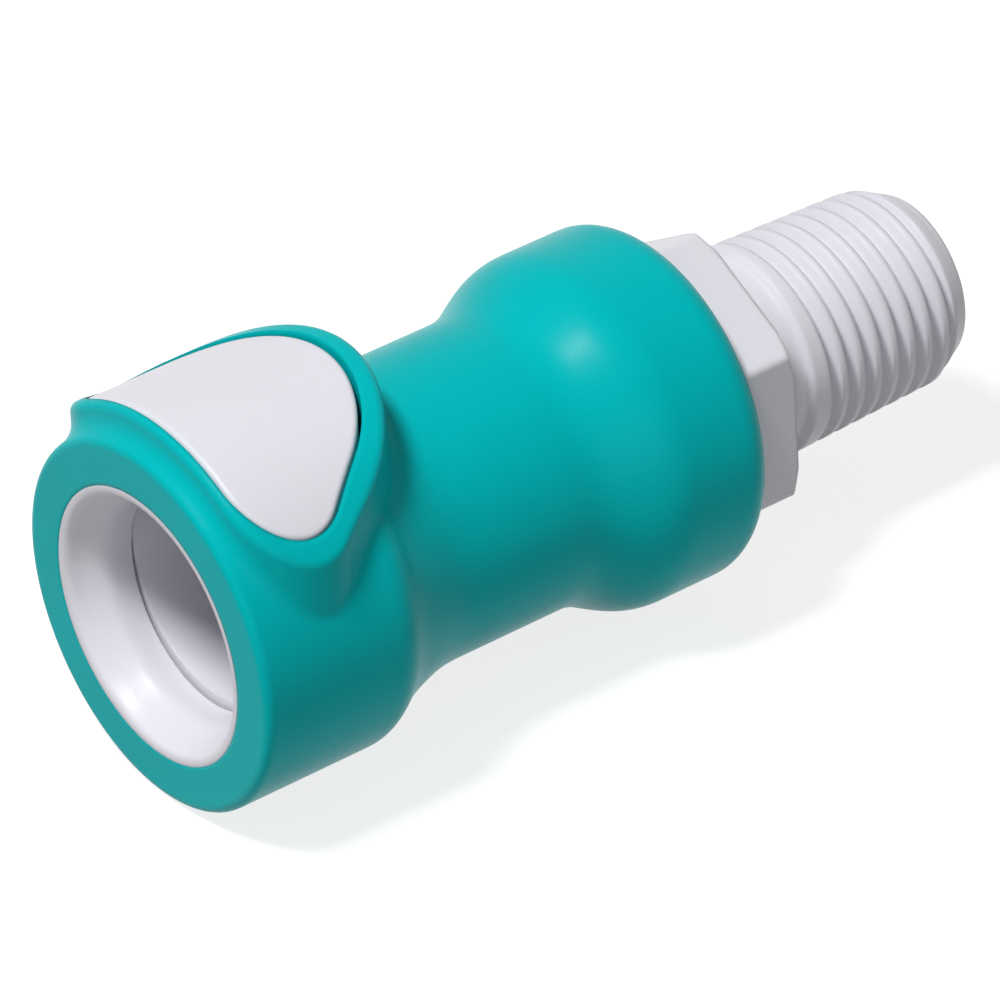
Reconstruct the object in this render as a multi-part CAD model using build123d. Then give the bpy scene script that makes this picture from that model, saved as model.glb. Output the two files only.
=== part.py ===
from build123d import *
import math
import os

# Quick disconnect coupling: the female half, with a thumb button latch and a male pipe thread.
# The bore runs along X from the mating face at X = 0 to the threaded end.
# The thumb button faces +Z. All sizes are in millimetres.

# Grip sleeve, the soft overmoulding
GRIP_FRONT_R = 12.2
GRIP_WAIST_R = 9.63
GRIP_REAR_R = 11.75
GRIP_LENGTH = 39.3
GRIP_FRONT_EDGE_R = 0.5
GRIP_REAR_EDGE_R = 2.0
SHOULDER_START_X = 10.0
SHOULDER_END_X = 18.5
SHOULDER_CURVE = ((0.27, 0.37), (0.55, 0.76))
FLARE_START_FROM_REAR = 13.0
FLARE_END_FROM_REAR = 6.3
GRIP_FRONT_WALL = 1.7
GRIP_WAIST_WALL = 1.23
GRIP_REAR_WALL = 2.2

# Housing, the rigid moulding under the sleeve
HOUSING_FRONT_WALL = 1.93
HOUSING_WAIST_WALL = 1.6
HOUSING_REAR_WALL = 1.42
NOSE_LIP = 0.2
NOSE_LENGTH = 1.6
SHELL_TAPER = 6.0
SHELL_FLARE_FROM_REAR = 7.8

# Socket that takes the plug
MOUTH_FLARE = 1.0
MOUTH_ROUNDING = 0.7
THROAT_START_X = 2.8
THROAT_END_X = 4.1
THROAT_REAR_LENGTH = 0.8
SEAL_BORE_STEP = 1.6
SEAL_BORE_LEAD = 1.2

# Valve seat
SEAT_LAND = 1.2
SEAT_CONE_DEPTH = 2.0
SEAT_SEAL_OVERLAP = 0.35

# Thumb button: its outline from above is a triangle with two round corners and a wide round tip
BUTTON_FRONT_X = 1.75
BUTTON_TIP_X = 14.1
BUTTON_SIDE_MARGIN = 2.1
BUTTON_RISE = 1.75
BUTTON_THICKNESS = 2.0
BUTTON_CORNER_R = 3.65
BUTTON_TIP_R = 9.2
BUTTON_EDGE_R = 0.35
BUTTON_GAP = 0.25
BUTTON_FLOOR_CLEARANCE = 0.3

# Rim of the sleeve round the button
RIM_FRONT_WIDTH = 0.45
RIM_SIDE_WIDTH = 1.05
RIM_TIP_WIDTH = 1.4
RIM_RISE = 1.9
RIM_OUTER_EDGE_R = 0.65
RIM_BASE_FILLET = 1.5

# Latch ring, one moulding with the button
LATCH_TRAVEL = 1.5
LATCH_CATCH = 0.6
LATCH_FRONT_GAP = 0.2
LATCH_LENGTH = 4.55
LATCH_HOLE_CLEARANCE = 0.15
LATCH_WALL = 1.1
LATCH_CLEARANCE = 0.12
LUG_HEIGHT = 0.5
LUG_LENGTH = 2.0
LUG_DEPTH = 1.4
LUG_TOP_Z = -0.2
LUG_STOP_GAP = 0.05

# Latch spring
LATCH_SPRING_R = 1.7
LATCH_SPRING_WIRE_R = 0.2
LATCH_SPRING_TURNS = 5
LATCH_SPRING_POST_R = 1.1
LATCH_SPRING_POST_LENGTH = 1.7
SPRING_POCKET_CLEARANCE = 0.25
SPRING_POCKET_MARGIN = 0.1
SPRING_POCKET_WALL = 0.5

# Tail fitting
SPIGOT_LENGTH = 8.3
SPIGOT_CLEARANCE = 0.03
SPIGOT_WALL = 1.8
SPIGOT_BORE_CONE = 2.0
TAIL_BORE_R = 3.5
HEX_ACROSS_FLATS = 17.46
HEX_LENGTH = 4.0
HEX_CORNER_R = 0.5
HEX_CHAMFER = 0.45
HEX_CLOCKING = -2.4
NECK_R = 6.55
NECK_LENGTH = 3.0
NECK_FLANK = 0.3

# Tapered pipe thread, 1/4 inch, 18 threads to the inch
THREAD_LENGTH = 13.3
THREAD_TIP_R = 6.61
THREAD_TAPER = 1 / 32
THREAD_PITCH = 25.4 / 18
THREAD_DEPTH = 0.75
THREAD_ROOT_WIDTH = 0.12
THREAD_CREST_WIDTH = 0.45
THREAD_START_GAP = 1.1
THREAD_START_ANGLE = 15.0
THREAD_CUT_RISE = 0.3
TIP_CHAMFER_LENGTH = 2.0
TIP_CHAMFER_DEPTH = 0.95

# Seals
TAIL_SEAL_WIRE_R = 0.75
TAIL_SEAL_FROM_REAR = 5.1
TAIL_SEAL_GROOVE = 2.0
POPPET_SEAL_WIRE_R = 0.7
SEAL_CLEARANCE = 0.02

# Shut-off poppet
POPPET_TRAVEL = 3.0
POPPET_NOSE_CLEARANCE = 0.2
POPPET_NOSE_LENGTH = 0.7
POPPET_GROOVE = 1.75
POPPET_HEAD_COVER = 0.65
POPPET_HEAD_LENGTH = 1.45
POPPET_FLOW_GAP = 1.4
PROBE_HEIGHT = 0.8
PROBE_INSET = 0.5
PROBE_RIB = 1.2
STEM_R = 1.6
STEM_REACH = 3.0
STEM_CHAMFER = 0.4

# Valve guide and spring
GUIDE_LENGTH = 2.0
GUIDE_RIM = 1.1
GUIDE_LEDGE = 1.3
GUIDE_HUB_R = 2.7
GUIDE_CLEARANCE = 0.05
GUIDE_SPOKES = 3
GUIDE_SPOKE_WIDTH = 1.3
VALVE_SPRING_R = 3.1
VALVE_SPRING_WIRE_R = 0.3
VALVE_SPRING_TURNS = 5
VALVE_SPRING_LENGTH = 6.7

# Radii at the front, from the grip inwards
FRONT_SHELL_R = GRIP_FRONT_R - GRIP_FRONT_WALL
LATCH_R = FRONT_SHELL_R - HOUSING_FRONT_WALL - LATCH_CLEARANCE
LATCH_HOLE_R = LATCH_R - LATCH_WALL
THROAT_R = LATCH_HOLE_R - LATCH_HOLE_CLEARANCE
MOUTH_R = THROAT_R + MOUTH_FLARE
NOSE_R = MOUTH_R + MOUTH_ROUNDING + NOSE_LIP
SEAL_BORE_R = THROAT_R - SEAL_BORE_STEP
LATCH_REST_Z = LATCH_HOLE_R - (THROAT_R - LATCH_CATCH)

# Radii at the waist, from the grip inwards
WAIST_SHELL_R = GRIP_WAIST_R - GRIP_WAIST_WALL
CHAMBER_R = WAIST_SHELL_R - HOUSING_WAIST_WALL
POPPET_HEAD_R = CHAMBER_R - POPPET_FLOW_GAP
POPPET_SEAL_R = POPPET_HEAD_R - POPPET_HEAD_COVER
SEAT_R = POPPET_SEAL_R - SEAT_SEAL_OVERLAP
POPPET_NOSE_R = SEAT_R - POPPET_NOSE_CLEARANCE
PROBE_WIDTH = 2 * (POPPET_NOSE_R - PROBE_INSET)

# Radii at the rear, from the grip inwards
REAR_SHELL_R = GRIP_REAR_R - GRIP_REAR_WALL
SPIGOT_R = REAR_SHELL_R - HOUSING_REAR_WALL - SPIGOT_CLEARANCE
GUIDE_R = SPIGOT_R - SPIGOT_WALL
SPIGOT_BORE_R = GUIDE_R - GUIDE_LEDGE

# The button and its rim stand on the front barrel
BUTTON_TOP_R = GRIP_FRONT_R + BUTTON_RISE
BUTTON_BOTTOM_R = BUTTON_TOP_R - BUTTON_THICKNESS
BUTTON_HALF_WIDTH = GRIP_FRONT_R - BUTTON_SIDE_MARGIN
RIM_TOP_R = GRIP_FRONT_R + RIM_RISE
FLOOR_DROP = LATCH_TRAVEL + BUTTON_FLOOR_CLEARANCE

# Stations from the mating face backwards
LATCH_FRONT_X = THROAT_END_X + LATCH_FRONT_GAP
LATCH_REAR_X = LATCH_FRONT_X + LATCH_LENGTH
SLOT_REAR_X = LATCH_REAR_X + LATCH_CLEARANCE
SEAL_BORE_START_X = SLOT_REAR_X + THROAT_REAR_LENGTH
SPRING_POCKET_R = LATCH_SPRING_R + LATCH_SPRING_WIRE_R + SPRING_POCKET_CLEARANCE
LATCH_SPRING_X = SEAL_BORE_START_X + SPRING_POCKET_R + SPRING_POCKET_MARGIN
SPRING_POCKET_FLOOR_Z = THROAT_R + SPRING_POCKET_WALL

# Stations from the grip's rear end
FLARE_START_X = GRIP_LENGTH - FLARE_START_FROM_REAR
FLARE_END_X = GRIP_LENGTH - FLARE_END_FROM_REAR
SHELL_FLARE_END_X = GRIP_LENGTH - SHELL_FLARE_FROM_REAR
TAIL_SEAL_X = GRIP_LENGTH - TAIL_SEAL_FROM_REAR
SPIGOT_FRONT_X = GRIP_LENGTH - SPIGOT_LENGTH
GUIDE_REAR_X = SPIGOT_FRONT_X + GUIDE_LENGTH
STEM_END_X = GUIDE_REAR_X + STEM_REACH
SPIGOT_BORE_END_X = STEM_END_X + POPPET_TRAVEL
HEX_REAR_X = GRIP_LENGTH + HEX_LENGTH
THREAD_START_X = HEX_REAR_X + NECK_LENGTH
THREAD_END_X = THREAD_START_X + THREAD_LENGTH
THREAD_BASE_R = THREAD_TIP_R + THREAD_LENGTH * THREAD_TAPER
TIP_CHAMFER_X = THREAD_END_X - TIP_CHAMFER_LENGTH

# The poppet stands on its spring, and the seat is where its closed seal touches
POPPET_REAR_X = SPIGOT_FRONT_X - VALVE_SPRING_LENGTH
POPPET_HEAD_X = POPPET_REAR_X - POPPET_HEAD_LENGTH
POPPET_GROOVE_X = POPPET_HEAD_X - POPPET_GROOVE
POPPET_SEAL_X = POPPET_GROOVE_X + POPPET_GROOVE / 2
SEAT_CONE_OFFSET = (POPPET_SEAL_WIRE_R + SEAL_CLEARANCE) * math.sqrt(2)
SEAT_X = POPPET_SEAL_X - SEAT_SEAL_OVERLAP - SEAT_CONE_OFFSET
SEAL_BORE_END_X = SEAT_X - SEAT_LAND

# Longer and wider than the whole part, for cutting
TOOL = 2 * THREAD_END_X


def turned(profile):
    """Turns a closed profile, drawn as lines and arcs of (x, radius), about the bore."""
    return revolve(make_face(profile), axis=Axis.X)


def turned_polygon(*stations):
    """Turns straight runs between (x, radius) stations, closed along the bore's axis."""
    first, last = (stations[0][0], 0), (stations[-1][0], 0)
    return turned(Polyline(first, *stations, last, close=True))


def rod(radius, x_from, x_to):
    """A round bar along the bore."""
    return Plane.YZ.offset(x_from) * extrude(Circle(radius), x_to - x_from)


def upright(sketch, z_from=0.0, z_to=TOOL):
    """Raises an outline drawn from above."""
    return Pos(0, 0, z_from) * extrude(sketch, z_to - z_from)


def cross_bar(radius, z=0.0):
    """A long round bar along the bore, centred z above it."""
    return Pos(0, 0, z) * rod(radius, -TOOL, TOOL)


def button_outline(front=0.0, side=0.0, tip=0.0):
    """The rounded triangle, grown at its front, its sides and its tip."""
    front_x = BUTTON_FRONT_X - front
    tip_x = BUTTON_TIP_X + tip
    corner_r = BUTTON_CORNER_R + front
    tip_r = BUTTON_TIP_R + tip
    corner_x = front_x + corner_r
    corner_y = BUTTON_HALF_WIDTH + side - corner_r
    tip_centre_x = tip_x - tip_r
    lean = math.atan2(corner_y, corner_x - tip_centre_x)
    spread = math.hypot(corner_y, corner_x - tip_centre_x)
    normal = lean - math.acos((tip_r - corner_r) / spread)
    across = corner_r * math.cos(normal), corner_r * math.sin(normal)
    middle = (math.pi + normal) / 2
    halfway = corner_r * math.cos(middle), corner_r * math.sin(middle)
    flank_x = tip_centre_x + tip_r * math.cos(normal)
    flank_y = tip_r * math.sin(normal)
    outline = Line((front_x, -corner_y), (front_x, corner_y))
    outline += ThreePointArc((flank_x, -flank_y), (tip_x, 0), (flank_x, flank_y))
    for way in (-1, 1):
        corner_end = (corner_x + across[0], way * (corner_y + across[1]))
        outline += ThreePointArc(
            (front_x, way * corner_y),
            (corner_x + halfway[0], way * (corner_y + halfway[1])),
            corner_end,
        )
        outline += Line(corner_end, (flank_x, way * flank_y))
    return make_face(outline)


def edges_at_radius(solid, radius):
    """The edges whose middle lies this far from the bore's axis."""
    close = 0.01
    return solid.edges().filter_by(
        lambda edge: abs(math.hypot((edge @ 0.5).Y, (edge @ 0.5).Z) - radius) < close
    )


def meeting_edges(joined, first, second):
    """The edges of a joined solid along which its two parts meet."""
    close = 0.005

    def touches_both(edge):
        middle = Vertex(*(edge @ 0.5))
        return first.distance_to(middle) < close and second.distance_to(middle) < close

    return joined.edges().filter_by(touches_both)


def seat_surface(drop):
    """The underside of the button's curve, lowered by a drop."""
    return cross_bar(BUTTON_BOTTOM_R, -drop)


def housing_envelope():
    """The outside of the housing, which the sleeve is moulded round."""
    shell = turned_polygon(
        (0, NOSE_R),
        (NOSE_LENGTH, NOSE_R),
        (NOSE_LENGTH, FRONT_SHELL_R),
        (SHOULDER_START_X, FRONT_SHELL_R),
        (SHOULDER_START_X + SHELL_TAPER, WAIST_SHELL_R),
        (FLARE_START_X, WAIST_SHELL_R),
        (SHELL_FLARE_END_X, REAR_SHELL_R),
        (GRIP_LENGTH, REAR_SHELL_R),
    )
    pocket = upright(button_outline(BUTTON_GAP, BUTTON_GAP, BUTTON_GAP))
    seat = pocket & seat_surface(FLOOR_DROP)
    return (shell - pocket) + seat


def socket_and_chamber():
    """The whole passage through the housing, from the mouth to the spigot's socket."""
    lip = (0, MOUTH_R + MOUTH_ROUNDING)
    mouth = (MOUTH_ROUNDING, MOUTH_R)
    throat = (THROAT_START_X, THROAT_R)
    outline = Line((0, 0), lip)
    outline += Spline(lip, mouth, throat, tangents=((0, -1), (1, 0)))
    outline += Polyline(
        throat,
        (SEAL_BORE_START_X, THROAT_R),
        (SEAL_BORE_START_X + SEAL_BORE_LEAD, SEAL_BORE_R),
        (SEAL_BORE_END_X, SEAL_BORE_R),
        (SEAL_BORE_END_X, SEAT_R),
        (SEAT_X, SEAT_R),
        (SEAT_X + SEAT_CONE_DEPTH, SEAT_R + SEAT_CONE_DEPTH),
        (SEAT_X + SEAT_CONE_DEPTH, CHAMBER_R),
        (SPIGOT_FRONT_X, CHAMBER_R),
        (SPIGOT_FRONT_X, SPIGOT_R + SPIGOT_CLEARANCE),
        (GRIP_LENGTH, SPIGOT_R + SPIGOT_CLEARANCE),
        (GRIP_LENGTH, 0),
        (0, 0),
    )
    return turned(outline)


def latch_slot():
    """The slot across the socket that the latch ring slides in."""
    radius = LATCH_R + LATCH_CLEARANCE
    low_z = LATCH_REST_Z - LATCH_TRAVEL - LATCH_CLEARANCE
    length = SLOT_REAR_X - THROAT_END_X
    middle = THROAT_END_X + length / 2
    slot = Pos(0, 0, low_z) * rod(radius, THROAT_END_X, SLOT_REAR_X)
    slot += Pos(middle, 0, low_z + TOOL / 2) * Box(length, 2 * radius, TOOL)
    lug_room_low = LUG_TOP_Z - LUG_DEPTH - LATCH_TRAVEL - LATCH_CLEARANCE
    lug_room_high = LUG_TOP_Z + LUG_STOP_GAP
    slot += Pos(
        LATCH_FRONT_X + LATCH_LENGTH / 2, 0, (lug_room_low + lug_room_high) / 2
    ) * Box(
        LUG_LENGTH + 2 * LATCH_CLEARANCE,
        2 * (LATCH_R + LUG_HEIGHT + LATCH_CLEARANCE),
        lug_room_high - lug_room_low,
    )
    return slot


def body_housing():
    pocket_base = Pos(LATCH_SPRING_X, 0, SPRING_POCKET_FLOOR_Z)
    spring_pocket = pocket_base * extrude(Circle(SPRING_POCKET_R), TOOL)
    housing = housing_envelope() - socket_and_chamber()
    housing -= latch_slot()
    housing -= spring_pocket
    return housing


def grip_outside():
    """The sleeve's turned outside: front barrel, waist and rear bulge."""
    front = (0, GRIP_FRONT_R - GRIP_FRONT_EDGE_R)
    barrel = (GRIP_FRONT_EDGE_R, GRIP_FRONT_R)
    shoulder = (SHOULDER_START_X, GRIP_FRONT_R)
    waist_front = (SHOULDER_END_X, GRIP_WAIST_R)
    waist_rear = (FLARE_START_X, GRIP_WAIST_R)
    bulge_front = (FLARE_END_X, GRIP_REAR_R)
    bulge_rear = (GRIP_LENGTH - GRIP_REAR_EDGE_R, GRIP_REAR_R)
    rear = (GRIP_LENGTH, GRIP_REAR_R - GRIP_REAR_EDGE_R)
    shoulder_drop = GRIP_FRONT_R - GRIP_WAIST_R
    shoulder_run = SHOULDER_END_X - SHOULDER_START_X
    along = (1, 0)
    outline = Line((0, 0), front)
    outline += RadiusArc(front, barrel, GRIP_FRONT_EDGE_R)
    outline += Line(barrel, shoulder)
    between = [
        (SHOULDER_START_X + run * shoulder_run, GRIP_FRONT_R - drop * shoulder_drop)
        for run, drop in SHOULDER_CURVE
    ]
    outline += Spline(shoulder, *between, waist_front, tangents=(along, along))
    outline += Line(waist_front, waist_rear)
    outline += Spline(waist_rear, bulge_front, tangents=(along, along))
    outline += Line(bulge_front, bulge_rear)
    outline += RadiusArc(bulge_rear, rear, GRIP_REAR_EDGE_R)
    outline += Polyline(rear, (GRIP_LENGTH, 0), (0, 0))
    return turned(outline)


def grip_sleeve():
    pocket_outline = button_outline(BUTTON_GAP, BUTTON_GAP, BUTTON_GAP)
    rim_outline = button_outline(
        BUTTON_GAP + RIM_FRONT_WIDTH, BUTTON_GAP + RIM_SIDE_WIDTH, BUTTON_GAP + RIM_TIP_WIDTH
    )
    rim = upright(rim_outline) & cross_bar(RIM_TOP_R)
    rim = fillet(edges_at_radius(rim, RIM_TOP_R), RIM_OUTER_EDGE_R)
    outside = grip_outside()
    sleeve = outside + rim
    sleeve = fillet(meeting_edges(sleeve, outside, rim), RIM_BASE_FILLET)
    sleeve -= upright(pocket_outline)
    sleeve -= housing_envelope()
    return sleeve


def latch_button():
    outline = button_outline()
    pad = upright(outline) & (cross_bar(BUTTON_TOP_R) - cross_bar(BUTTON_BOTTOM_R))
    pad = fillet(edges_at_radius(pad, BUTTON_TOP_R), BUTTON_EDGE_R)
    hole_top_z = LATCH_REST_Z - LATCH_HOLE_CLEARANCE + LATCH_TRAVEL
    middle_x = LATCH_FRONT_X + LATCH_LENGTH / 2
    height = BUTTON_TOP_R
    ring = Pos(0, 0, LATCH_REST_Z) * rod(LATCH_R, LATCH_FRONT_X, LATCH_REAR_X)
    ring += Pos(middle_x, 0, LATCH_REST_Z + height / 2) * Box(
        LATCH_LENGTH, 2 * LATCH_R, height
    )
    ring &= cross_bar((BUTTON_TOP_R + BUTTON_BOTTOM_R) / 2)
    for side in (-1, 1):
        ring += Pos(
            middle_x, side * (LATCH_R + LUG_HEIGHT - LATCH_WALL / 2), LUG_TOP_Z - LUG_DEPTH / 2
        ) * Box(LUG_LENGTH, LATCH_WALL, LUG_DEPTH)
    hole = Pos(0, 0, LATCH_REST_Z) * rod(LATCH_HOLE_R, LATCH_FRONT_X, LATCH_REAR_X)
    hole += Pos(0, 0, hole_top_z) * rod(LATCH_HOLE_R, LATCH_FRONT_X, LATCH_REAR_X)
    hole += Pos(middle_x, 0, (LATCH_REST_Z + hole_top_z) / 2) * Box(
        LATCH_LENGTH, 2 * LATCH_HOLE_R, hole_top_z - LATCH_REST_Z
    )
    post = Pos(LATCH_SPRING_X, 0, BUTTON_BOTTOM_R - LATCH_SPRING_POST_LENGTH) * Cylinder(
        LATCH_SPRING_POST_R,
        LATCH_SPRING_POST_LENGTH + BUTTON_THICKNESS / 2,
        align=(Align.CENTER, Align.CENTER, Align.MIN),
    )
    return pad + (ring - hole) + post


def coil(radius, wire_r, turns, length):
    """A compression spring along Z with both ends ground flat."""
    pitch = length / turns
    path = Helix(pitch, length, radius)
    start = Plane(path @ 0, z_dir=path % 0)
    wire = sweep(start * Circle(wire_r), path, is_frenet=True)
    slab = Cylinder(
        2 * radius, length, align=(Align.CENTER, Align.CENTER, Align.MIN)
    )
    return wire & slab


def latch_spring():
    spring_outer_r = LATCH_SPRING_R + LATCH_SPRING_WIRE_R
    underside_z = math.sqrt(BUTTON_BOTTOM_R**2 - spring_outer_r**2)
    length = underside_z - SPRING_POCKET_FLOOR_Z
    spring = coil(LATCH_SPRING_R, LATCH_SPRING_WIRE_R, LATCH_SPRING_TURNS, length)
    return Pos(LATCH_SPRING_X, 0, SPRING_POCKET_FLOOR_Z) * spring


def thread_groove():
    """The helical groove, cut inwards from the tapered crest."""
    length = THREAD_END_X - THREAD_START_X - THREAD_START_GAP + THREAD_PITCH
    start_x = THREAD_START_X + THREAD_START_GAP
    start_r = THREAD_TIP_R + (THREAD_END_X - start_x) * THREAD_TAPER
    taper_angle = math.degrees(math.atan(THREAD_TAPER))
    path = Helix(THREAD_PITCH, length, start_r, cone_angle=-taper_angle)
    half_top = (THREAD_PITCH - THREAD_CREST_WIDTH) / 2
    half_root = THREAD_ROOT_WIDTH / 2
    section = Polyline(
        (-THREAD_DEPTH, -half_root),
        (-THREAD_DEPTH, half_root),
        (0, half_top),
        (THREAD_CUT_RISE, half_top),
        (THREAD_CUT_RISE, -half_top),
        (0, -half_top),
        close=True,
    )
    at_start = Plane(path @ 0, x_dir=(1, 0, 0), z_dir=path % 0)
    groove = sweep(at_start * make_face(section), path, is_frenet=True)
    return Plane.YZ.offset(start_x) * (Rot(0, 0, THREAD_START_ANGLE) * groove)


def threaded_tail():
    body = turned_polygon(
        (SPIGOT_FRONT_X, SPIGOT_R),
        (GRIP_LENGTH, SPIGOT_R),
        (GRIP_LENGTH, NECK_R),
        (THREAD_START_X - NECK_FLANK, NECK_R),
        (THREAD_START_X, THREAD_BASE_R),
        (TIP_CHAMFER_X, THREAD_TIP_R + TIP_CHAMFER_LENGTH * THREAD_TAPER),
        (THREAD_END_X, THREAD_TIP_R - TIP_CHAMFER_DEPTH),
    )
    body -= thread_groove()
    hexagon = RegularPolygon(HEX_ACROSS_FLATS / 2, 6, major_radius=False)
    hexagon = fillet(hexagon.vertices(), HEX_CORNER_R)
    hexagon = Rot(0, 0, 90 + HEX_CLOCKING) * hexagon
    nut = Plane.YZ.offset(GRIP_LENGTH) * extrude(hexagon, HEX_LENGTH)
    corner_r = HEX_ACROSS_FLATS / math.sqrt(3)
    nut &= turned_polygon(
        (GRIP_LENGTH, corner_r),
        (HEX_REAR_X - HEX_CHAMFER, corner_r),
        (HEX_REAR_X, corner_r - HEX_CHAMFER * math.sqrt(3)),
    )
    body += nut
    body -= turned_polygon(
        (SPIGOT_FRONT_X, GUIDE_R),
        (GUIDE_REAR_X, GUIDE_R),
        (GUIDE_REAR_X, SPIGOT_BORE_R),
        (SPIGOT_BORE_END_X, SPIGOT_BORE_R),
        (SPIGOT_BORE_END_X + SPIGOT_BORE_CONE, TAIL_BORE_R),
        (THREAD_END_X, TAIL_BORE_R),
    )
    groove_from = TAIL_SEAL_X - TAIL_SEAL_GROOVE / 2
    groove_to = TAIL_SEAL_X + TAIL_SEAL_GROOVE / 2
    core = rod(SPIGOT_R - 2 * TAIL_SEAL_WIRE_R, groove_from, groove_to)
    return body - (rod(GRIP_REAR_R, groove_from, groove_to) - core)


def seal_ring(x, radius, wire_r):
    """An O-ring about the bore."""
    return Plane.YZ.offset(x) * Torus(radius, wire_r)


def tail_seal():
    return seal_ring(TAIL_SEAL_X, SPIGOT_R - TAIL_SEAL_WIRE_R, TAIL_SEAL_WIRE_R)


def poppet_seal():
    return seal_ring(POPPET_SEAL_X, POPPET_SEAL_R, POPPET_SEAL_WIRE_R)


def valve_poppet():
    groove_r = POPPET_SEAL_R - POPPET_SEAL_WIRE_R
    nose_x = POPPET_GROOVE_X - POPPET_NOSE_LENGTH
    poppet = turned_polygon(
        (nose_x, POPPET_NOSE_R),
        (POPPET_GROOVE_X, POPPET_NOSE_R),
        (POPPET_GROOVE_X, groove_r),
        (POPPET_HEAD_X, groove_r),
        (POPPET_HEAD_X, POPPET_HEAD_R),
        (POPPET_REAR_X, POPPET_HEAD_R),
        (POPPET_REAR_X, STEM_R),
        (STEM_END_X - STEM_CHAMFER, STEM_R),
        (STEM_END_X, STEM_R - STEM_CHAMFER),
    )
    probe_x = nose_x - PROBE_HEIGHT / 2
    for width, height in ((PROBE_WIDTH, PROBE_RIB), (PROBE_RIB, PROBE_WIDTH)):
        poppet += Pos(probe_x, 0, 0) * Box(PROBE_HEIGHT, width, height)
    return poppet


def valve_guide():
    rim = rod(GUIDE_R, SPIGOT_FRONT_X, GUIDE_REAR_X) - rod(
        GUIDE_R - GUIDE_RIM, SPIGOT_FRONT_X, GUIDE_REAR_X
    )
    hub = rod(GUIDE_HUB_R, SPIGOT_FRONT_X, GUIDE_REAR_X)
    middle_x = (SPIGOT_FRONT_X + GUIDE_REAR_X) / 2
    reach = GUIDE_R - GUIDE_RIM / 2
    guide = rim + hub
    for number in range(GUIDE_SPOKES):
        spoke = Pos(middle_x, 0, reach / 2) * Box(GUIDE_LENGTH, GUIDE_SPOKE_WIDTH, reach)
        guide += Rot(number * 360 / GUIDE_SPOKES, 0, 0) * spoke
    return guide - rod(STEM_R + GUIDE_CLEARANCE, SPIGOT_FRONT_X, GUIDE_REAR_X)


def valve_spring():
    spring = coil(
        VALVE_SPRING_R, VALVE_SPRING_WIRE_R, VALVE_SPRING_TURNS, VALVE_SPRING_LENGTH
    )
    return Plane.YZ.offset(POPPET_REAR_X) * spring


PIECES = {
    "body_housing": body_housing,
    "grip_sleeve": grip_sleeve,
    "latch_button": latch_button,
    "latch_spring": latch_spring,
    "threaded_tail": threaded_tail,
    "tail_seal": tail_seal,
    "valve_poppet": valve_poppet,
    "poppet_seal": poppet_seal,
    "valve_guide": valve_guide,
    "valve_spring": valve_spring,
}

os.makedirs("parts", exist_ok=True)
for name, make in PIECES.items():
    export_step(make(), f"parts/{name}.step")
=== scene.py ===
import math

import bpy
from mathutils import Matrix, Vector


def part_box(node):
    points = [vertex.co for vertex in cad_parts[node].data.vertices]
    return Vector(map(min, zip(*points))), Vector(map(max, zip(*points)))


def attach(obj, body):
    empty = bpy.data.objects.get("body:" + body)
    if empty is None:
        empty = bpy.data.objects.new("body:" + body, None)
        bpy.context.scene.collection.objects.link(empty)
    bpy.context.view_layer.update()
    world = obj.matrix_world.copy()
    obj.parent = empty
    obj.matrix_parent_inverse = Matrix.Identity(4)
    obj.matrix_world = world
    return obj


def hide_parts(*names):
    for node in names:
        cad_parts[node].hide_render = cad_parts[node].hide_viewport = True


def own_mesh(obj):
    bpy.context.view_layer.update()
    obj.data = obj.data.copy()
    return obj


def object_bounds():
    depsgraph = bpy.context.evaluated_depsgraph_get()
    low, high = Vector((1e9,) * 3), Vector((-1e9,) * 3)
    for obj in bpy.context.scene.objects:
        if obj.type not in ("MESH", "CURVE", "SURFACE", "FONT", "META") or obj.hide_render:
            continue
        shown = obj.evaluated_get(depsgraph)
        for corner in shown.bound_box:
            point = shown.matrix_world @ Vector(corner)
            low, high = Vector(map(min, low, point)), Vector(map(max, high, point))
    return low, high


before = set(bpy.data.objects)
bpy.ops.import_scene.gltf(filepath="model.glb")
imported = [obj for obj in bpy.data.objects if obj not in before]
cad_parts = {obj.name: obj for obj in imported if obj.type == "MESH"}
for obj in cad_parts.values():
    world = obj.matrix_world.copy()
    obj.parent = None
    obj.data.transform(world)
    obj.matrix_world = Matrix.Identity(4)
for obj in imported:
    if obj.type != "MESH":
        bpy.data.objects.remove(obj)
cad_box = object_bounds()

# One millimetre. Lengths are in metres, unless a name ends in _MM.
# X runs from the mouth to the thread and Z runs up through the button.
MM = 0.001
AXIS_X = 0
AXIS_Z = 2

# Camera, fitted to the photograph's ellipses
CAMERA_PLACE = (-0.2284, -0.3406, 0.2873)
CAMERA_RIGHT = (0.7887, -0.6142, -0.0275)
CAMERA_UP = (0.3639, 0.4304, 0.8260)
CAMERA_LENS_MM = 300.6
CAMERA_SENSOR_MM = 36.0
CAMERA_NEAR = 0.01
CAMERA_FAR = 20.0

# Light: a weak even world, a small high key and a large low fill in front
WORLD_STRENGTH = 0.18
KEY_PLACE = (-0.35, -0.01, 0.81)
KEY_SIZE = 0.18
KEY_POWER = 6.9
FILL_PLACE = (-0.20, -0.54, 0.10)
FILL_SIZE = 0.50
FILL_POWER = 0.58

# Floor. The part lies on its front barrel, with the button up.
FLOOR_DROP = 0.05 * MM
FLOOR_SIZE = 6.0
FLOOR_GREY = (0.35, 0.35, 0.35, 1)
FLOOR_ROUGHNESS = 0.9

# The floor's lift towards white, near the part and far from it, and where near ends and far begins
FLOOR_LIFT = 0.80
FLOOR_LIFT_FAR = 0.96
FLOOR_NEAR = 0.15
FLOOR_FAR = 0.60

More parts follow.
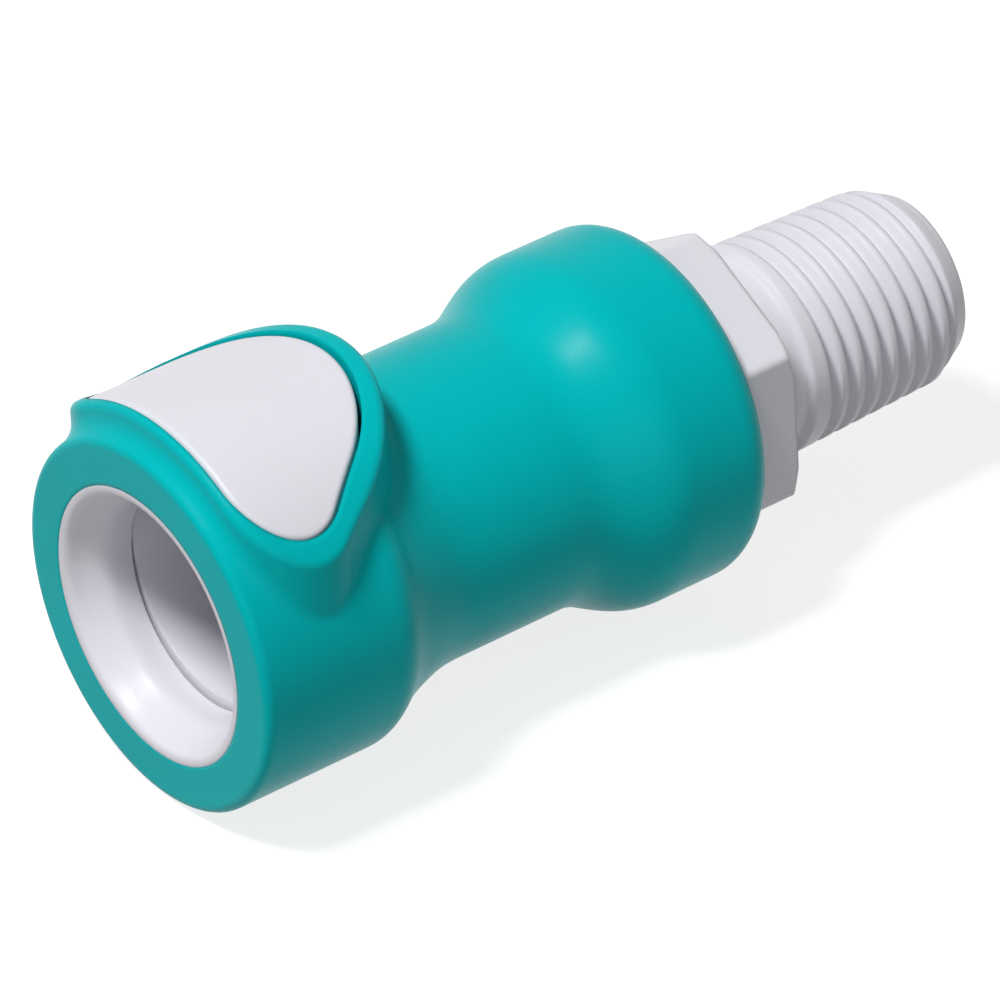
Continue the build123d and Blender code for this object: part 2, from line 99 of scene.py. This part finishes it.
# Colours as the shaders take them
TEAL = (0.0, 0.485, 0.505, 1)
TEAL_DEEP = (0.0, 0.455, 0.470, 1)
WHITE = (0.765, 0.755, 0.815, 1)
WHITE_WARM = (0.745, 0.732, 0.785, 1)
STEEL = (0.60, 0.60, 0.62, 1)
STEEL_DARK = (0.45, 0.45, 0.47, 1)
RUBBER = (0.012, 0.012, 0.013, 1)
RUBBER_GREY = (0.030, 0.030, 0.032, 1)
BACKGROUND = (1.0, 1.0, 1.0, 1)

# Most of a noise texture's values lie between these two
NOISE_LOW = 0.3
NOISE_HIGH = 0.7

# Textures: a scale of 1000 makes cells of about one millimetre
PLASTIC_MOTTLE_SCALE = 90.0
PLASTIC_GRAIN_DETAIL = 5.0
PLASTIC_GRAIN_ROUGHNESS = 0.6
PLASTIC_GRAIN_HEIGHT = 0.02 * MM
STEEL_SCALE = 3000.0
RUBBER_SCALE = 900.0
FINE_GRAIN_HEIGHT = 0.01 * MM

# How deep light goes into a soft plastic
SOFT_DEPTH = 0.6 * MM

# Edges are shaded as if rounded to these radii
GRIP_EDGE_R = 0.42 * MM
WHITE_EDGE_R = 0.18 * MM
TAIL_EDGE_R = 0.45 * MM
EDGE_SAMPLES = 6

# Springs. One turn at each end is closed, which leaves the five open turns of the solids.
COIL_TURNS = 7
DEAD_TURNS = 1.0
COIL_SEGMENTS = 28
WIRE_SEGMENTS = 12
LATCH_WIRE_R = 0.2 * MM
VALVE_WIRE_R = 0.3 * MM


def new_material(name):
    """A node material, with its shader and its texture coordinates."""
    material = bpy.data.materials.new(name)
    material.use_nodes = True
    nodes = material.node_tree.nodes
    return material, nodes["Principled BSDF"], nodes.new("ShaderNodeTexCoord")


def noise(material, place, scale, detail=3.0, roughness=0.5):
    """A noise texture whose cells are about 1 / scale metres."""
    node = material.node_tree.nodes.new("ShaderNodeTexNoise")
    node.inputs["Scale"].default_value = scale
    node.inputs["Detail"].default_value = detail
    node.inputs["Roughness"].default_value = roughness
    material.node_tree.links.new(place.outputs["Object"], node.inputs["Vector"])
    return node.outputs["Fac"]


def ramp(material, source, source_low, source_high, low, high):
    """Turns the range of a source into the range from low to high."""
    node = material.node_tree.nodes.new("ShaderNodeMapRange")
    node.inputs["From Min"].default_value = source_low
    node.inputs["From Max"].default_value = source_high
    node.inputs["To Min"].default_value = low
    node.inputs["To Max"].default_value = high
    material.node_tree.links.new(source, node.inputs["Value"])
    return node.outputs["Result"]


def spread(material, texture, low, high):
    """Stretches a noise's middle to a range of values."""
    return ramp(material, texture, NOISE_LOW, NOISE_HIGH, low, high)


def between(material, share, first, second):
    """A colour that runs from the first to the second."""
    node = material.node_tree.nodes.new("ShaderNodeMix")
    node.data_type = "RGBA"
    node.inputs["A"].default_value = first
    node.inputs["B"].default_value = second
    material.node_tree.links.new(share, node.inputs["Factor"])
    return node.outputs["Result"]


def tint(material, shader, texture, colours):
    """Mottles the surface between two colours."""
    share = spread(material, texture, 0.0, 1.0)
    material.node_tree.links.new(between(material, share, *colours), shader.inputs["Base Color"])


def polish(material, shader, texture, roughness):
    """Lets the roughness vary over a range."""
    material.node_tree.links.new(spread(material, texture, *roughness), shader.inputs["Roughness"])


def grain(material, shader, texture, strength, height, edge_radius=0.0):
    """Fine bumps on the surface, whose edges may be shaded as if rounded to a radius."""
    nodes, link = material.node_tree.nodes, material.node_tree.links.new
    bumps = nodes.new("ShaderNodeBump")
    bumps.inputs["Strength"].default_value = strength
    bumps.inputs["Distance"].default_value = height
    link(texture, bumps.inputs["Height"])
    link(bumps.outputs["Normal"], shader.inputs["Normal"])
    if edge_radius:
        edges = nodes.new("ShaderNodeBevel")
        edges.samples = EDGE_SAMPLES
        edges.inputs["Radius"].default_value = edge_radius
        link(edges.outputs["Normal"], bumps.inputs["Normal"])


def moulded(name, colours, roughness, gloss, grain_scale, grain_strength, softness, edge_radius):
    """A moulded plastic: faint mottling in its colour and gloss, and a fine grain."""
    material, shader, place = new_material(name)
    cloud = noise(material, place, PLASTIC_MOTTLE_SCALE)
    fine = noise(material, place, grain_scale, PLASTIC_GRAIN_DETAIL, PLASTIC_GRAIN_ROUGHNESS)
    tint(material, shader, cloud, colours)
    polish(material, shader, fine, roughness)
    grain(material, shader, fine, grain_strength, PLASTIC_GRAIN_HEIGHT, edge_radius)
    shader.inputs["Specular IOR Level"].default_value = gloss
    shader.inputs["Subsurface Weight"].default_value = softness
    shader.inputs["Subsurface Radius"].default_value = (1.0, 1.0, 1.0)
    shader.inputs["Subsurface Scale"].default_value = SOFT_DEPTH
    return material


def soft_grip():
    """The sleeve's teal overmoulding, satin and opaque."""
    return moulded(
        "soft_grip",
        colours=(TEAL, TEAL_DEEP),
        roughness=(0.26, 0.32),
        gloss=0.05,
        grain_scale=5200.0,
        grain_strength=0.06,
        softness=0.0,
        edge_radius=GRIP_EDGE_R,
    )


def white_plastic(name, edge_radius):
    """White moulding that lets a little light in."""
    return moulded(
        name,
        colours=(WHITE, WHITE_WARM),
        roughness=(0.31, 0.41),
        gloss=0.26,
        grain_scale=2600.0,
        grain_strength=0.06,
        softness=0.15,
        edge_radius=edge_radius,
    )


def spring_steel():
    """Drawn wire, with an uneven shine."""
    material, shader, place = new_material("spring_steel")
    texture = noise(material, place, STEEL_SCALE)
    tint(material, shader, texture, colours=(STEEL, STEEL_DARK))
    polish(material, shader, texture, roughness=(0.22, 0.38))
    grain(material, shader, texture, strength=0.15, height=FINE_GRAIN_HEIGHT)
    shader.inputs["Metallic"].default_value = 1.0
    return material


def seal_rubber():
    """Black rubber of the O-rings."""
    material, shader, place = new_material("seal_rubber")
    texture = noise(material, place, RUBBER_SCALE)
    tint(material, shader, texture, colours=(RUBBER, RUBBER_GREY))
    polish(material, shader, texture, roughness=(0.35, 0.5))
    grain(material, shader, texture, strength=0.2, height=FINE_GRAIN_HEIGHT)
    return material


def dress(nodes, material):
    """Gives carried-over nodes their material."""
    for node in nodes:
        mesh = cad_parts[node].data
        mesh.materials.clear()
        mesh.materials.append(material)


def coil_rise(share, turns, free_length, wire):
    """How far along a spring its wire has risen: the end turns lie close and the rest is open."""
    dead = DEAD_TURNS / turns
    dead_rise = wire * DEAD_TURNS
    open_rise = free_length - wire - 2 * dead_rise
    if share < dead:
        return dead_rise * share / dead
    if share > 1 - dead:
        return free_length - wire - dead_rise * (1 - share) / dead
    return dead_rise + open_rise * (share - dead) / (1 - 2 * dead)


def coil_vertices(low, high, along, wire_radius, steps):
    """The rings of points round the wire of a coil that fills a box."""
    length = high[along] - low[along]
    first, second = [axis for axis in range(3) if axis != along]
    centre = (low + high) / 2
    radius = (high[first] - low[first]) / 2 - wire_radius
    vertices = []
    for step in range(steps + 1):
        share = step / steps
        angle = share * COIL_TURNS * math.tau
        rise = wire_radius + coil_rise(share, COIL_TURNS, length, 2 * wire_radius)
        for corner in range(WIRE_SEGMENTS):
            tilt = corner / WIRE_SEGMENTS * math.tau
            reach = radius + wire_radius * math.cos(tilt)
            point = Vector((0, 0, 0))
            point[first] = centre[first] + reach * math.cos(angle)
            point[second] = centre[second] + reach * math.sin(angle)
            point[along] = low[along] + rise + wire_radius * math.sin(tilt)
            vertices.append(point)
    return vertices


def coil_faces(steps):
    """The wire's skin between its rings of points, and its two ends, all facing outward."""
    faces = []
    for step in range(steps):
        here, there = step * WIRE_SEGMENTS, (step + 1) * WIRE_SEGMENTS
        for corner in range(WIRE_SEGMENTS):
            following = (corner + 1) % WIRE_SEGMENTS
            faces.append((here + corner, there + corner, there + following, here + following))
    last = steps * WIRE_SEGMENTS
    faces.append(tuple(range(WIRE_SEGMENTS)))
    faces.append(tuple(reversed(range(last, last + WIRE_SEGMENTS))))
    return faces


def coil_piece(name, vertices, faces, material):
    """A smooth piece of spring steel that rides on the coupling's body."""
    mesh = bpy.data.meshes.new(name)
    mesh.from_pydata(vertices, [], faces)
    mesh.materials.append(material)
    mesh.validate()
    for face in mesh.polygons:
        face.use_smooth = True
    piece = bpy.data.objects.new(name, mesh)
    bpy.context.scene.collection.objects.link(piece)
    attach(piece, "coupling_body")
    return piece


def coil_spring(name, node, along, fixed_low, wire_radius, material):
    """A compression spring with closed ends, in place of the plain coil that the frame holds.

    It winds along one axis. fixed_low picks its low or high end as an anchor point, which nothing here
    uses.
    """
    low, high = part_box(node)
    steps = COIL_TURNS * COIL_SEGMENTS
    vertices = coil_vertices(low, high, along, wire_radius, steps)
    piece = coil_piece(name, vertices, coil_faces(steps), material)
    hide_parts(node)
    direction = Vector((0, 0, 0))
    direction[along] = 1
    anchor = (low + high) / 2
    anchor[along] = low[along] if fixed_low else high[along]
    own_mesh(piece)


def seeing_rays(tree):
    """A value of 1 for the rays that show a background: camera, gloss and clear ones."""
    rays = tree.nodes.new("ShaderNodeLightPath")
    value = rays.outputs["Is Camera Ray"]
    for ray in ("Is Glossy Ray", "Is Transmission Ray"):
        either = tree.nodes.new("ShaderNodeMath")
        either.operation = "MAXIMUM"
        tree.links.new(value, either.inputs[0])
        tree.links.new(rays.outputs[ray], either.inputs[1])
        value = either.outputs["Value"]
    return value


def background_material(name):
    """A grey surface that camera, gloss and clear rays see lifted to white, with its shadows kept.

    The lift grows away from the part, where the lamps light the surface less.
    """
    material, shader, place = new_material(name)
    nodes, link = material.node_tree.nodes, material.node_tree.links.new
    shader.inputs["Base Color"].default_value = FLOOR_GREY
    shader.inputs["Roughness"].default_value = FLOOR_ROUGHNESS
    shader.inputs["Specular IOR Level"].default_value = 0.0
    away = nodes.new("ShaderNodeVectorMath")
    away.operation = "LENGTH"
    link(place.outputs["Object"], away.inputs[0])
    lift = ramp(material, away.outputs["Value"], FLOOR_NEAR, FLOOR_FAR, FLOOR_LIFT, FLOOR_LIFT_FAR)
    strength = nodes.new("ShaderNodeMath")
    strength.operation = "MULTIPLY"
    link(seeing_rays(material.node_tree), strength.inputs[0])
    link(lift, strength.inputs[1])
    white = nodes.new("ShaderNodeEmission")
    white.inputs["Color"].default_value = BACKGROUND
    link(strength.outputs["Value"], white.inputs["Strength"])
    added = nodes.new("ShaderNodeAddShader")
    link(shader.outputs["BSDF"], added.inputs[0])
    link(white.outputs["Emission"], added.inputs[1])
    link(added.outputs["Shader"], nodes["Material Output"].inputs["Surface"])
    return material


def floor():
    """A large square under the part."""
    half = FLOOR_SIZE / 2
    height = cad_box[0].z - FLOOR_DROP
    corners = [(x * half, y * half, height) for x, y in ((-1, -1), (1, -1), (1, 1), (-1, 1))]
    mesh = bpy.data.meshes.new("floor")
    mesh.from_pydata(corners, [], [(0, 1, 2, 3)])
    mesh.materials.append(background_material("floor"))
    plane = bpy.data.objects.new("floor", mesh)
    bpy.context.scene.collection.objects.link(plane)


def world_light():
    """An even light from all sides, which the rays that show a background see as white."""
    world = bpy.data.worlds.new("studio")
    world.use_nodes = True
    bpy.context.scene.world = world
    nodes, link = world.node_tree.nodes, world.node_tree.links.new
    even = nodes["Background"]
    even.inputs["Color"].default_value = BACKGROUND
    even.inputs["Strength"].default_value = WORLD_STRENGTH
    seen = nodes.new("ShaderNodeBackground")
    seen.inputs["Color"].default_value = BACKGROUND
    seen.inputs["Strength"].default_value = 1.0
    mixed = nodes.new("ShaderNodeMixShader")
    link(seeing_rays(world.node_tree), mixed.inputs["Fac"])
    link(even.outputs["Background"], mixed.inputs[1])
    link(seen.outputs["Background"], mixed.inputs[2])
    link(mixed.outputs["Shader"], nodes["World Output"].inputs["Surface"])


def softbox(name, place, size, power):
    """A square lamp that faces the middle of the part."""
    data = bpy.data.lights.new(name, "AREA")
    data.shape = "SQUARE"
    data.size = size
    data.energy = power
    lamp = bpy.data.objects.new(name, data)
    lamp.location = place
    aim = (cad_box[0] + cad_box[1]) / 2 - Vector(place)
    lamp.rotation_mode = "QUATERNION"
    lamp.rotation_quaternion = aim.to_track_quat("-Z", "Y")
    bpy.context.scene.collection.objects.link(lamp)


def camera():
    """The photograph's viewpoint."""
    data = bpy.data.cameras.new("camera")
    data.lens = CAMERA_LENS_MM
    data.sensor_width = CAMERA_SENSOR_MM
    data.clip_start = CAMERA_NEAR
    data.clip_end = CAMERA_FAR
    right = Vector(CAMERA_RIGHT).normalized()
    back = right.cross(Vector(CAMERA_UP)).normalized()
    up = back.cross(right)
    turn = Matrix((right, up, back)).transposed().to_4x4()
    viewer = bpy.data.objects.new("camera", data)
    viewer.matrix_world = Matrix.Translation(CAMERA_PLACE) @ turn
    bpy.context.scene.collection.objects.link(viewer)
    bpy.context.scene.camera = viewer


steel = spring_steel()
dress(["grip_sleeve"], soft_grip())
dress(["threaded_tail"], white_plastic("white_plastic_tail", TAIL_EDGE_R))
dress(
    ["body_housing", "latch_button", "valve_poppet", "valve_guide"],
    white_plastic("white_plastic", WHITE_EDGE_R),
)
dress(["tail_seal", "poppet_seal"], seal_rubber())
coil_spring("latch_coil", "latch_spring", AXIS_Z, True, LATCH_WIRE_R, steel)
coil_spring("valve_coil", "valve_spring", AXIS_X, False, VALVE_WIRE_R, steel)

floor()
world_light()
softbox("key", KEY_PLACE, KEY_SIZE, KEY_POWER)
softbox("front_fill", FILL_PLACE, FILL_SIZE, FILL_POWER)
camera()

bpy.context.scene.view_settings.view_transform = "Standard"
